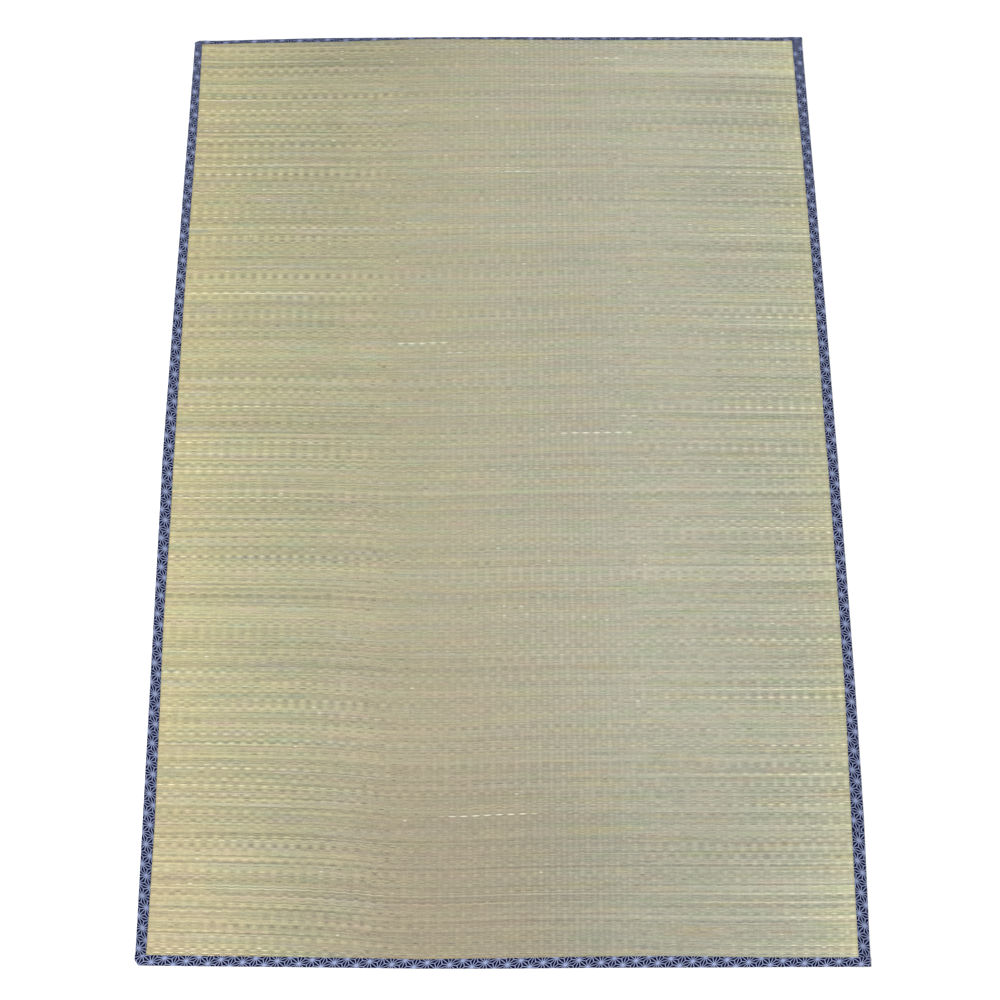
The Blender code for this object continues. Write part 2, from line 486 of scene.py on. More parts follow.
class Value:
    """One value of a material, so that shader sums are written as Python expressions."""

    def __init__(self, shader: Shader, socket: bpy.types.NodeSocket) -> None:
        """Wrap a socket of a shader."""
        self.shader = shader
        self.socket = socket

    def math(self, operation: str, *others: Value | float) -> Value:
        """Add a Math node that works on this value.

        Args:
            operation: The Math node's operation.
            others: Its other operands.

        Returns:
            The result.
        """
        inputs = dict(enumerate((self, *others)))
        return self.shader.node("ShaderNodeMath", {"operation": operation}, inputs)

    def __add__(self, other: Value | float) -> Value:
        """Sum."""
        return self.math("ADD", other)

    def __radd__(self, other: float) -> Value:
        """Sum with a number on the left."""
        return self.math("ADD", other)

    def __sub__(self, other: Value | float) -> Value:
        """Difference."""
        return self.math("SUBTRACT", other)

    def __rsub__(self, other: float) -> Value:
        """Difference from a number."""
        return self.math("MULTIPLY", -1.0) + other

    def __mul__(self, other: Value | float) -> Value:
        """Product."""
        return self.math("MULTIPLY", other)

    def __rmul__(self, other: float) -> Value:
        """Product with a number on the left."""
        return self.math("MULTIPLY", other)

    def __truediv__(self, other: Value | float) -> Value:
        """Quotient."""
        return self.math("DIVIDE", other)

    def floor(self) -> Value:
        """Whole part, rounded down."""
        return self.math("FLOOR")

    def fract(self) -> Value:
        """Part after the whole."""
        return self.math("FRACT")

    def sine(self) -> Value:
        """Sine of the value in radians."""
        return self.math("SINE")

    def cosine(self) -> Value:
        """Cosine of the value in radians."""
        return self.math("COSINE")

    def size(self) -> Value:
        """Value without its sign."""
        return self.math("ABSOLUTE")

    def above(self, level: Value | float) -> Value:
        """1 where the value is over a level, and 0 elsewhere."""
        return self.math("GREATER_THAN", level)

    def least(self, other: Value | float) -> Value:
        """The smaller of two values."""
        return self.math("MINIMUM", other)

    def most(self, other: Value | float) -> Value:
        """The larger of two values."""
        return self.math("MAXIMUM", other)

    def ramp(self, low: float, high: float) -> Value:
        """Rise smoothly from 0 at one value to 1 at another.

        Args:
            low: The value that gives 0.
            high: The value that gives 1, which may be the lesser of the two.

        Returns:
            The share.
        """
        settings = {"interpolation_type": "SMOOTHSTEP"}
        inputs = {"Value": self, "From Min": low, "From Max": high}
        return self.shader.node("ShaderNodeMapRange", settings, inputs)

    def curve(self, stops: Stops) -> Value:
        """Read a smooth curve through (place, amount) pairs, all from 0 to 1."""
        return self.shader.node("ShaderNodeFloatCurve", {"stops": stops}, {"Value": self})

    def near(self, place: float, fade: tuple[float, float]) -> Value:
        """Share by distance from a place: 0 at the fade's first distance, 1 at its second."""
        return (self - place).size().ramp(*fade)


class Shader:
    """A material and the nodes that it is worked out with."""

    def __init__(self, name: str) -> None:
        """Make an empty material with a Principled shader.

        Args:
            name: The material's name.
        """
        self.material = bpy.data.materials.new(name)
        self.material.use_nodes = True
        self.nodes = self.material.node_tree.nodes
        self.links = self.material.node_tree.links
        self.bsdf = self.nodes["Principled BSDF"]

    def node(
        self,
        kind: str,
        settings: dict[str, object] | None = None,
        inputs: dict[str | int, object] | None = None,
        output: str | int = 0,
    ) -> Value:
        """Add one node.

        Args:
            kind: The node's type.
            settings: Its properties, set first. "stops" fills its ramp or its curve.
            inputs: Its sockets' values or links, by name or number.
            output: The socket that is wanted.

        Returns:
            The wanted output.
        """
        made = self.nodes.new(kind)
        for key, value in (settings or {}).items():
            if key == "stops" and kind == "ShaderNodeFloatCurve":
                self.fill_curve(made.mapping, value)
            elif key == "stops":
                self.fill_ramp(made.color_ramp, value)
            else:
                setattr(made, key, value)
        for key, value in (inputs or {}).items():
            if isinstance(value, Value):
                self.links.new(value.socket, made.inputs[key])
            else:
                made.inputs[key].default_value = value
        return Value(self, made.outputs[output])

    @staticmethod
    def fill_ramp(ramp: bpy.types.ColorRamp, stops: Sequence[tuple[float, Colour]]) -> None:
        """Fill a colour ramp with its stops.

        Args:
            ramp: The ramp.
            stops: Pairs of place and screen colour.
        """
        while len(ramp.elements) < len(stops):
            ramp.elements.new(0.5)
        for element, (place, colour) in zip(ramp.elements, stops):
            element.position = place
            element.color = linear(colour)

    @staticmethod
    def fill_curve(mapping: bpy.types.CurveMapping, stops: Stops) -> None:
        """Draw a curve through its stops.

        Args:
            mapping: The curve node's mapping.
            stops: Pairs of place and amount, all from 0 to 1.
        """
        points = mapping.curves[0].points
        points[0].location = stops[0]
        points[1].location = stops[-1]
        for place, amount in stops[1:-1]:
            points.new(place, amount)
        mapping.update()

    def cloth_places(self) -> tuple[Value, Value]:
        """Read the place on the flat cloth.

        Returns:
            The place along and the place across, in metres.
        """
        spot = {0: self.node("ShaderNodeUVMap", {"uv_map": CLOTH_MAP})}
        along, across = (
            self.node("ShaderNodeSeparateXYZ", inputs=spot, output=axis) for axis in "XY"
        )
        return along, across

    def past_seam(self) -> Value:
        """Read how far the place is past the seam line, in metres."""
        spot = self.node("ShaderNodeAttribute", {"attribute_name": FLAT_LAYER}, output="Vector")
        return self.node("ShaderNodeSeparateXYZ", inputs={0: spot}, output="Z")

    def vector(self, x: Value | float, y: Value | float, z: Value | float = 0.0) -> Value:
        """Join three values into a vector."""
        return self.node("ShaderNodeCombineXYZ", inputs={"X": x, "Y": y, "Z": z})

    def speckle(self, spot: Value) -> Value:
        """A value from 0 to 1 that is random for each whole-numbered vector."""
        settings = {"noise_dimensions": "3D"}
        return self.node("ShaderNodeTexWhiteNoise", settings, {"Vector": spot})

    def chance(self, number: Value, seed: float) -> Value:
        """A value from 0 to 1 that is random for each whole number."""
        return self.speckle(self.vector(number, seed))

    def cloud(self, x: Value, y: Value, seed: float, detail: float = 1.0) -> Value:
        """Smooth unevenness about 0, with features about one unit across."""
        inputs = {"Vector": self.vector(x, y, seed), "Scale": 1.0, "Detail": detail}
        return self.node("ShaderNodeTexNoise", inputs=inputs) - 0.5

    def blend(self, mask: Value | float, first: Value | Colour, second: Value | Colour) -> Value:
        """Mix two colours by a mask.

        Args:
            mask: How much of the second colour shows.
            first: A screen colour or a colour value.
            second: A screen colour or a colour value.

        Returns:
            The mixed colour.
        """
        inputs = {"Factor": mask, 6: self.solid(first), 7: self.solid(second)}
        return self.node("ShaderNodeMix", {"data_type": "RGBA"}, inputs, output=2)

    @staticmethod
    def solid(colour: Value | Colour) -> Value | tuple[float, float, float, float]:
        """Make a screen colour linear, and pass a colour value on."""
        return colour if isinstance(colour, Value) else linear(colour)

    def shade(self, colour: Value, factor: Value) -> Value:
        """Multiply a colour by a value."""
        inputs = {0: colour, "Scale": factor}
        return self.node("ShaderNodeVectorMath", {"operation": "SCALE"}, inputs)

    def relief(self, height: Value, distance: float, strength: float) -> None:
        """Raise the surface with a bump.

        Args:
            height: The height, from 0 to 1.
            distance: How far a height of 1 stands out, in metres.
            strength: How much of the bump shows.
        """
        inputs = {"Height": height, "Distance": distance, "Strength": strength}
        bump = self.node("ShaderNodeBump", inputs=inputs)
        self.links.new(bump.socket, self.bsdf.inputs["Normal"])

    def feed(self, **sockets: Value | float | tuple[float, ...]) -> bpy.types.Material:
        """Link or set the Principled shader's sockets, their names with _ for a space.

        Args:
            sockets: Values or links by socket name.

        Returns:
            The finished material.
        """
        for name, value in sockets.items():
            socket = self.bsdf.inputs[name.replace("_", " ")]
            if isinstance(value, Value):
                self.links.new(value.socket, socket)
            else:
                socket.default_value = value
        return self.material


class Seed(IntEnum):
    """What each random pattern of a material is for, so that no two are alike."""

    LIE = 3
    FADING = 5
    LEFT_END = 11
    RIGHT_END = 12
    SPLIT = 13
    RUSH = 21
    LENS = 22
    STREAK = 23
    BUNDLE = 24
    PATCH = 25
    GRAIN = 26
    PAIR = 27
    WARMTH = 31
    WARMTH_OF_RUSH = 32
    PALE = 33
    PALE_RUN = 34
    DRYNESS = 35
    DRYNESS_OF_RUSH = 36
    WHITE_RUN = 41
    WHITE = 42
    FLECK = 44


@dataclass(frozen=True)
class WeavePoint:
    """Where a point of the sheet lies in the weave.

    A rush shows as a row of lenses. Each lens swells over one eye, is pinched out in the next,
    and rows take turns, so that even rows show in even eyes and odd rows in odd ones.
    """

    shader: Shader
    along: Value
    side: Value
    down: Value
    eye: Value
    row: Value
    odd: Value
    swell: Value
    across: Value
    lens: Value


@dataclass(frozen=True)
class Strand:
    """Which rush of a row shows at a point, and what part of it."""

    rush: Value
    both: Value
    rounding: Value


@dataclass(frozen=True)
class RowBend:
    """How far the rows bend towards the foot across the mat, over one part of its length.

    Places across run from 0 at the left edge to 1 at the right, and places down from 0 at the
    head to 1 at the foot. Amounts run from 0 to 1, and `level` is the amount that bends nothing.
    """

    most: float
    level: float
    sets_in: tuple[float, float]
    dies_away: tuple[float, float]
    stops: Stops

    def amount(self, side: Value, down: Value) -> Value:
        """Work out the bend at a point.

        Args:
            side: Place across.
            down: Place down.

        Returns:
            How far the rows lie towards the foot, in metres.
        """
        share = side.curve(self.stops) - self.level
        return share * down.ramp(*self.sets_in) * down.ramp(*self.dies_away) * self.most


ROW_BENDS = (
    RowBend(
        most=20.0 * MM,
        level=0.0,
        sets_in=(0.22, 0.86),
        dies_away=(1.2, 1.1),
        stops=(
            (0.0, 0.0),
            (0.14, 0.08),
            (0.22, 0.20),
            (0.30, 0.55),
            (0.37, 0.84),
            (0.43, 0.80),
            (0.50, 0.58),
            (0.60, 0.44),
            (0.75, 0.42),
            (0.90, 0.45),
            (1.0, 0.30),
        ),
    ),
    RowBend(
        most=12.0 * MM,
        level=0.0,
        sets_in=(0.90, 0.98),
        dies_away=(1.2, 1.1),
        stops=((0.0, 0.0), (0.33, 0.2), (0.5, 0.38), (0.67, 0.62), (0.83, 0.87), (1.0, 1.0)),
    ),
    RowBend(
        most=12.0 * MM,
        level=0.5,
        sets_in=(0.0, 0.12),
        dies_away=(0.62, 0.36),
        stops=(
            (0.0, 0.5),
            (0.17, 0.68),
            (0.28, 0.95),
            (0.42, 0.72),
            (0.55, 0.45),
            (0.67, 0.08),
            (0.83, 0.38),
            (1.0, 0.95),
        ),
    ),
    RowBend(
        most=24.0 * MM,
        level=0.0,
        sets_in=(-0.2, -0.1),
        dies_away=(0.27, 0.0),
        stops=(
            (0.0, 0.0),
            (0.17, 0.63),
            (0.33, 0.52),
            (0.42, 0.42),
            (0.6, 0.57),
            (0.9, 0.68),
            (1.0, 0.86),
        ),
    ),
)


@dataclass(frozen=True)
class Zone:
    """A soft-edged part of the sheet, and how much changes there.

    Places run from 0 to 1, across from the left and down from the head. Each fade gives the
    distance from the zone's place at which the change sets in, and that at which it is full.
    """

    change: float
    across: float
    across_fade: tuple[float, float]
    down: float = 0.0
    down_fade: tuple[float, float] | None = None

    def amount(self, point: WeavePoint) -> Value:
        """Work out the change at a point.

        Args:
            point: The point's place in the weave.

        Returns:
            The change, down to 0 outside the zone.
        """
        share = point.side.near(self.across, self.across_fade)
        if self.down_fade:
            share = share * point.down.near(self.down, self.down_fade)
        return share * self.change


# Tone: painted shade at the middle and left of the foot and at the head's left, the real dark
# brown patch at the head, and painted light towards both right corners and along the left rim.
LIGHT_SHADE_AND_PATCH_ZONES = (
    Zone(-0.15, 0.65, (0.36, 0.05), 0.0, (0.70, 0.93)),
    Zone(-0.08, 0.30, (0.22, 0.05), 0.0, (0.78, 0.90)),
    Zone(-0.09, 0.30, (0.22, 0.06), 0.0, (0.075, 0.020)),
    Zone(-0.06, 0.0, (0.42, 0.20), 0.0, (0.32, 0.12)),
    Zone(0.14, 0.0, (0.55, 1.0), 0.0, (0.09, 0.02)),
    Zone(0.10, 0.0, (0.89, 1.0), 0.0, (0.80, 0.95)),
    Zone(0.06, 0.0, (0.20, 0.0), 0.62, (0.26, 0.08)),
)
# Share of dark lenses: both rims towards the foot, and the rush ends beside the middle third.
MARK_ZONES = (
    Zone(0.012, 0.5, (0.30, 0.46), 0.0, (0.45, 0.80)),
    Zone(0.016, 0.335, (0.055, 0.020), 0.0, (0.45, 0.80)),
    Zone(0.006, 0.335, (0.055, 0.020)),
    Zone(0.006, 0.685, (0.055, 0.020)),
)


@dataclass(frozen=True)
class Streaks:
    """Streaks along the rushes: how many in a metre, how many for each row, and how deep."""

    seed: Seed
    along: float
    rows: float
    depth: float = 1.0

    def tone(self, point: WeavePoint, row: Value) -> Value:
        """Work out the streaks' tone at a point.

        Args:
            point: The point's place in the weave.
            row: The number of the row or rush that the streaks keep to.

        Returns:
            The tone, lighter above 0 and darker below it.
        """
        cloud = point.shader.cloud(point.along * self.along, row * self.rows, self.seed)
        return cloud * self.depth


@dataclass(frozen=True)
class HueDrift:
    """A slow drift of hue between two screen colours, by bundle and a little by rush."""

    bundles: Streaks
    rush_seed: Seed
    rush_share: float
    reach: float
    high: Colour
    low: Colour
    cover: float = 0.6

    def dye(self, point: WeavePoint, strand: Strand, base: Value) -> Value:
        """Turn a colour towards one or the other end of the drift.

        Args:
            point: The point's place in the weave.
            strand: The rush there.
            base: The colour to turn.

        Returns:
            The turned colour.
        """
        shader = point.shader
        of_rush = (shader.chance(strand.rush, self.rush_seed) - 0.5) * self.rush_share
        drift = self.bundles.tone(point, point.row) + of_rush
        high = drift.ramp(0.0, self.reach) * self.cover
        low = drift.ramp(0.0, -self.reach) * self.cover
        return shader.blend(low, shader.blend(high, base, self.high), self.low)


ROSE_TO_GREEN = HueDrift(
    bundles=Streaks(Seed.WARMTH, 7.0, 1 / 14),
    rush_seed=Seed.WARMTH_OF_RUSH,
    rush_share=0.08,
    reach=0.28,
    high=(161, 146, 127),
    low=(142, 152, 122),
)
STRAW_TO_GREY = HueDrift(
    bundles=Streaks(Seed.DRYNESS, 5.0, 1 / 12),
    rush_seed=Seed.DRYNESS_OF_RUSH,
    rush_share=0.06,
    reach=0.30,
    high=(160, 154, 117),
    low=(149, 148, 135),
)


@dataclass(frozen=True)
class Stray:
    """Rushes or lenses of another screen colour: what share of them, and how they cover."""

    colour: Colour
    chance: float
    cover: float
    fade: tuple[float, float]

    def dye(self, base: Value, where: Value, strength: Value) -> Value:
        """Lay the stray colour over the rush.

        Args:
            base: The rush's own colour.
            where: The share of the point that is stray.
            strength: The value that the fade reads.

        Returns:
            The colour.
        """
        mask = where * strength.ramp(*self.fade) * self.cover
        return base.shader.blend(mask, base, self.colour)


@dataclass(frozen=True)
class RushFinish:
    """The woven rush: lenses of single rushes in straw, grey green and brown.

    Tones are shares of the mean colour. Pairs of rows take turns being light, most at the
    left, and `odd_bundles` keeps the bundles of odd rows apart from those of even rows. In
    the calm middle the streaks and bundles fade, and the fine grain stands out.
    """

    row_pitch: float = 1.6 * MM
    crowding: float = 0.92
    lie_wander: float = 5.0 * MM
    lie_scale: tuple[float, float] = (2.0, 6.0)
    left_reach: float = 0.66
    right_reach: float = 0.354
    reach_spread: float = 0.05
    split_spread: float = 0.7
    mean_tone: float = 1.075
    rush_tone: float = 0.52
    lens_tone: float = 0.20
    # Depth of the painted shade along the edges of each lens, where the rush rounds down.
    lens_edge_shade: float = 0.24
    # Depth of the painted shade in the grooves between the eyes.
    groove_shade_depth: float = 0.11
    pairs: Streaks = Streaks(Seed.PAIR, 1.5, 1.7, 0.80)
    pair_fade: tuple[float, float] = (0.85, 0.10)
    pair_floor: float = 0.4
    streaks: Streaks = Streaks(Seed.STREAK, 1.9, 1.37, 0.26)
    bundles: Streaks = Streaks(Seed.BUNDLE, 1.5, 1 / 6, 0.24)
    odd_bundles: float = 190.2
    grain: Streaks = Streaks(Seed.GRAIN, 210.0, 2.3, 0.46)
    patches: Streaks = Streaks(Seed.PATCH, 1.3, 1 / 60, 0.08)
    calm_middle: Zone = Zone(0.36, 0.48, (0.30, 0.12))
    brown: Colour = (148, 134, 113)
    brown_middle: Zone = Zone(0.55, 0.42, (0.26, 0.04), 0.0, (0.45, 1.0))
    worn: Colour = (172, 156, 124)
    worn_corner: Zone = Zone(0.45, 0.0, (0.30, 0.0), 0.0, (0.72, 1.0))
    pale: Stray = Stray((210, 206, 176), 0.045, 0.5, (-0.2, 0.1))
    pale_runs: Streaks = Streaks(Seed.PALE_RUN, 2.0, 0.77)
    pale_sides: Zone = Zone(0.8, 0.5, (0.20, 0.42))
    pale_floor: float = 0.2
    white: Stray = Stray((214, 210, 190), 0.015, 0.8, (0.10, 0.18))
    white_runs: Streaks = Streaks(Seed.WHITE_RUN, 3.0, 0.31)
    fleck: Stray = Stray((216, 213, 194), 0.0008, 0.5, (0.66, 0.90))
    bruise: Stray = Stray((84, 68, 50), 0.0010, 0.42, (0.52, 0.80))
    relief_depth: float = 0.9 * MM
    relief_strength: float = 0.5
    roughness: float = 0.58
    sheen: float = 0.3
    vivid_stops: Stops = (
        (0.0, 0.88),
        (0.18, 0.84),
        (0.26, 0.70),
        (0.34, 0.58),
        (0.60, 0.58),
        (0.72, 0.50),
        (0.79, 0.56),
        (0.87, 0.84),
        (1.0, 0.98),
    )
    # How strong the painted groove shade is across the mat, from the left edge to the right.
    groove_shade_stops: Stops = (
        (0.0, 0.42),
        (0.13, 0.33),
        (0.26, 0.19),
        (0.34, 0.25),
        (0.40, 0.52),
        (0.50, 0.72),
        (0.59, 0.96),
        (0.66, 0.78),
        (0.72, 0.46),
        (0.79, 0.31),
        (0.86, 0.46),
        (1.0, 0.86),
    )
    # Base colour across the mat: the rushes' own colour, yellower at the left and greyer green at
    # the right, with painted sheen and painted lamp light baked into it.
    colour_and_sheen_stops: tuple[tuple[float, Colour], ...] = (
        (0.00, (168, 158, 118)),
        (0.10, (155, 150, 116)),
        (0.22, (148, 144, 115)),
        (0.34, (149, 144, 118)),
        (0.50, (154, 150, 128)),
        (0.66, (155, 153, 135)),
        (0.85, (151, 151, 133)),
        (0.94, (155, 155, 134)),
        (0.975, (161, 160, 133)),
        (1.00, (174, 170, 139)),
    )

    def weave(self, shader: Shader, layout: MatLayout) -> WeavePoint:
        """Work out where a point lies in the weave.

        Args:
            shader: The material that the nodes go into.
            layout: Where the mat's pieces lie.

        Returns:
            The point's place in the weave.
        """
        along, up = shader.cloth_places()
        side = along / (2 * layout.sheet_half_width)
        down = 1.0 - up / (2 * layout.sheet_half_length)
        eye = along / layout.eye_pitch
        turn = (eye * math.pi).sine()

        scale_x, scale_y = self.lie_scale
        lie = up + shader.cloud(along * scale_x, up * scale_y, Seed.LIE) * self.lie_wander
        for bend in ROW_BENDS:
            lie = lie + bend.amount(side, down)
        rows = lie / self.row_pitch

        off_even = rows.math("PINGPONG", 1.0)
        open_even = turn * (0.5 * self.crowding) + 0.5
        odd = off_even.above(open_even)
        even = 1.0 - odd
        row = (rows * 0.5 + even * 0.5).floor() * 2.0 + odd
        off_even_share = off_even / open_even
        off_odd_share = (1.0 - off_even) / (1.0 - open_even)
        reach = off_even_share.least(off_odd_share)
        across = reach * (rows - row).math("SIGN")
        swell = open_even * even + (1.0 - open_even) * odd
        lens = (eye * 0.5 + 0.25 - odd * 0.5).floor()
        return WeavePoint(shader, along, side, down, eye, row, odd, swell, across, lens)

    def strand(self, point: WeavePoint) -> Strand:
        """Choose the rush that shows.

        Left of the middle third a row is one rush laid in from the left edge, and right of it
        one from the right edge. In the middle third the tips of both lie side by side.

        Args:
            point: The point's place in the weave.

        Returns:
            The rush there.
        """
        shader, row, side = point.shader, point.row, point.side
        left_end = shader.chance(row, Seed.LEFT_END) * self.reach_spread + self.left_reach
        right_end = self.right_reach - shader.chance(row, Seed.RIGHT_END) * self.reach_spread
        from_left = 1.0 - side.above(left_end)
        from_right = side.above(right_end)
        both = from_left * from_right
        split = (shader.chance(row, Seed.SPLIT) - 0.5) * self.split_spread
        upper = point.across.above(split)
        is_right = both * upper + (1.0 - both) * from_right
        rush = row * 2.0 + is_right
        halved = (point.across.size() * 2.0 - 1.0) * both + point.across * (1.0 - both)
        return Strand(rush, both, 1.0 - halved * halved)

    def tone(self, point: WeavePoint, strand: Strand) -> Value:
        """How light the point is beside the mean.

        Args:
            point: The point's place in the weave.
            strand: The rush there.

        Returns:
            The factor that the mean colour is multiplied by.
        """
        shader, row, side = point.shader, point.row, point.side
        vivid = side.curve(self.vivid_stops)
        rush = (shader.chance(strand.rush, Seed.RUSH) - 0.5) * self.rush_tone * vivid
        pair = self.pairs.tone(point, (row * 0.5).floor()) * (1.0 - point.odd * 2.0)
        dash = pair * (side.ramp(*self.pair_fade) * (1 - self.pair_floor) + self.pair_floor)
        spot = shader.vector(strand.rush, point.lens, Seed.LENS)
        lens = (shader.speckle(spot) - 0.5) * self.lens_tone
        streak = self.streaks.tone(point, strand.rush)
        bundle = self.bundles.tone(point, row + point.odd * self.odd_bundles)
        grain = self.grain.tone(point, strand.rush)
        patch = self.patches.tone(point, row)
        calm = self.calm_middle.amount(point)
        # Painted shade along each lens's edges, where the rush rounds down.
        edge = (1.0 - strand.rounding) * self.lens_edge_shade
        # Painted shade in the grooves over the warps, strongest right of the middle and at the
        # right edge.
        groove = (point.eye * (2 * math.pi)).cosine() * 0.5 + 0.5
        painted_groove_shade = groove * side.curve(self.groove_shade_stops) * self.groove_shade_depth
        drawn = (streak + bundle) * (1.0 - calm) + grain * (1.0 + calm)
        uneven = drawn + rush + dash + lens
        even = uneven + patch - edge - painted_groove_shade + self.mean_tone
        # Large zones of painted light and shade, with the real dark patch at the head.
        return sum((zone.amount(point) for zone in LIGHT_SHADE_AND_PATCH_ZONES), even)

    def colour(self, point: WeavePoint, strand: Strand) -> Value:
        """Colour of the rush at a point.

        Args:
            point: The point's place in the weave.
            strand: The rush there.

        Returns:
            The base colour.
        """
        shader = point.shader
        # The base colour across the mat, painted sheen and light included.
        settings = {"stops": self.colour_and_sheen_stops}
        colour = shader.node("ShaderNodeValToRGB", settings, {0: point.side})
        for drift in (ROSE_TO_GREEN, STRAW_TO_GREY):
            colour = drift.dye(point, strand, colour)
        for zone, ink in ((self.brown_middle, self.brown), (self.worn_corner, self.worn)):
            colour = shader.blend(zone.amount(point), colour, ink)

        share = self.pale_sides.amount(point) + self.pale_floor
        pale = shader.chance(strand.rush, Seed.PALE).above(1 - self.pale.chance) * share
        run = self.pale_runs.tone(point, strand.rush)
        colour = self.pale.dye(colour, pale, run)
        colour = shader.shade(colour, self.tone(point, strand))

        white = shader.chance(point.row, Seed.WHITE).above(1 - self.white.chance)
        run = self.white_runs.tone(point, point.row)
        colour = self.white.dye(colour, white * strand.both, run)
        draw = shader.speckle(shader.vector(point.row, point.lens, Seed.FLECK))
        fleck = draw.above(1 - self.fleck.chance)
        colour = self.fleck.dye(colour, fleck, point.swell)
        marked = sum((zone.amount(point) for zone in MARK_ZONES), self.bruise.chance)
        return self.bruise.dye(colour, marked.above(draw), point.swell)

    def material(self, layout: MatLayout) -> bpy.types.Material:
        """Work out the rush material.

        Args:
            layout: Where the mat's pieces lie.

        Returns:
            The material.
        """
        shader = Shader("woven_rush")
        point = self.weave(shader, layout)
        strand = self.strand(point)
        height = point.swell * (strand.rounding * 0.5 + 0.5)
        shader.relief(height, self.relief_depth, self.relief_strength)
        return shader.feed(
            Base_Color=self.colour(point, strand),
            Roughness=self.roughness,
            Specular_IOR_Level=self.sheen,
        )


@dataclass(frozen=True)
class PrintSlip:
    """How far the printed cloth has slipped round its fold, in millimetres, at a place along.

    A tape is stretched and folded by hand, so its print wanders. Where two lengths of tape
    are joined, two places lie next to each other and the print steps between them.
    """

    travel: float
    along: float
    inward: float


@dataclass(frozen=True)
class TapeFinish:
    """Cloth tape printed with a hemp-leaf star lattice, pale lavender on navy."""

    name: str
    first_star: tuple[float, float]
    step_q: tuple[float, float]
    step_r: tuple[float, float]
    slips: tuple[PrintSlip, ...]
    line: float = 0.037
    ray: float = 0.065
    line_blur: float = 0.25
    ground: tuple[Colour, Colour] = ((2, 2, 34), (9, 9, 46))
    ink: tuple[Colour, Colour] = ((123, 134, 166), (131, 141, 172))
    thread: Colour = (40, 40, 84)
    ink_cover: float = 0.95
    fading_scale: tuple[float, float] = (40.0, 60.0)
    fading_reach: float = 0.3
    yarn_pitch: float = 0.55 * MM
    # Depth of the painted shade where the yarns dip, lighter where they cross over.
    yarn_shade: float = 0.06
    yarn_height: float = 0.25
    stitch_pitch: float = 4.2 * MM
    stitch_ends: tuple[float, float] = (0.44, 0.30)
    thread_half: float = 0.32 * MM
    thread_edge: float = 0.25
    relief_depth: float = 0.40 * MM
    relief_strength: float = 0.6
    roughness: float = 0.88
    sheen: float = 0.04

    def slip(self, travel: float) -> tuple[float, float]:
        """How far the print has slipped at a place along the tape.

        Args:
            travel: Distance along the tape.

        Returns:
            The slip along the tape and inward, in metres.
        """
        along = [(row.travel, row.along * MM) for row in self.slips]
        inward = [(row.travel, row.inward * MM) for row in self.slips]
        return between(travel, along), between(travel, inward)

    def lines(self, along: Value, inward: Value) -> Value:
        """Where the print is: the triangles' edges, and the rays from them to their middles.

        Args:
            along: Distance along the tape.
            inward: Distance in from the fold.

        Returns:
            1 on the print and 0 on the ground.
        """
        x = along - self.first_star[0]
        y = inward - self.first_star[1]
        q_x, q_y = self.step_q
        r_x, r_y = self.step_r
        area = q_x * r_y - q_y * r_x
        a = (x * (r_y / area) - y * (r_x / area)).fract()
        b = (y * (q_x / area) - x * (q_y / area)).fract()
        far = (a + b).above(1.0)
        flip = 1.0 - far * 2.0
        first = far + a * flip
        second = far + b * flip
        third = 1.0 - first - second
        least = first.least(second).least(third)
        most = first.most(second).most(third)
        middle = 1.0 - least - most
        outer, inner = 1 + self.line_blur, 1 - self.line_blur
        edges = least.ramp(self.line * outer, self.line * inner)
        rays = (middle - least).ramp(self.ray * outer, self.ray * inner)
        return edges.most(rays)

    def stitches(self, along: Value, past_seam: Value) -> Value:
        """How high the sewing thread stands: short stitches that dive into the cloth at each end.

        Args:
            along: Distance along the tape.
            past_seam: Distance past the seam line.

        Returns:
            1 on the crest of a stitch, down to 0 beside it.
        """
        part = (along / self.stitch_pitch).fract()
        span = part.near(0.5, self.stitch_ends)
        beside = past_seam / self.thread_half
        return (1.0 - beside * beside).most(0.0) * span

    def material(self) -> bpy.types.Material:
        """Work out the printed tape material.

        Returns:
            The material.
        """
        shader = Shader(self.name)
        along, inward = shader.cloth_places()
        scale_x, scale_y = self.fading_scale
        cloud = shader.cloud(along * scale_x, inward * scale_y, Seed.FADING, detail=2.0)
        faded = cloud.ramp(-self.fading_reach, self.fading_reach)
        ground = shader.blend(faded, *self.ground)
        ink = shader.blend(faded, *self.ink)
        colour = shader.blend(self.lines(along, inward) * self.ink_cover, ground, ink)

        # Painted shade and light of the yarns, following the weave's bump: darker where it dips.
        warp, weft = ((place * (math.pi / self.yarn_pitch)).sine() for place in (along, inward))
        weave = warp * weft
        colour = shader.shade(colour, weave * self.yarn_shade + (1 - self.yarn_shade / 2))
        stitch = self.stitches(along, shader.past_seam())
        colour = shader.blend(stitch.ramp(0.0, self.thread_edge), colour, self.thread)
        height = weave * self.yarn_height + stitch
        shader.relief(height, self.relief_depth, self.relief_strength)
        return shader.feed(
            Base_Color=colour,
            Roughness=self.roughness,
            Specular_IOR_Level=self.sheen,
        )


